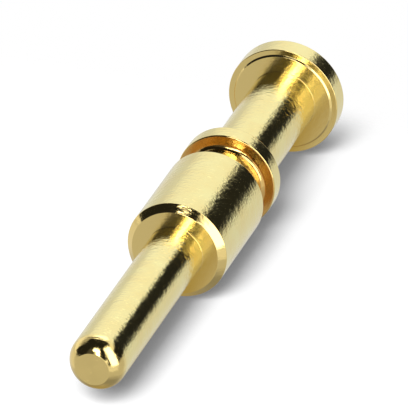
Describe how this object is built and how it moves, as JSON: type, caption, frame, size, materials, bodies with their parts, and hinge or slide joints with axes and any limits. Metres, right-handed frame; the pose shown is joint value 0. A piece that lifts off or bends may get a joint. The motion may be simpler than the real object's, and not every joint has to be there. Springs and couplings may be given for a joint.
{
  "type": "turned crimp contact pin",
  "caption": "Gold-plated contact turned in one piece: round-nosed mating pin, chamfered body, retention groove and collar, then a crimp barrel with a blind wire bore and a rear flange.",
  "frame": {"origin": "centre of the rear end face, in the plane that the contact stands on", "axes": "+Z along the axis, from the wire's mouth to the tip of the pin"},
  "size_m": [0.0051, 0.005, 0.0262],
  "materials": {
    "gold_plating": "bright gold plating over fine turning marks"
  },
  "bodies": {
    "root": {"contact_pin": "gold_plating"}
  },
  "joints": []
}
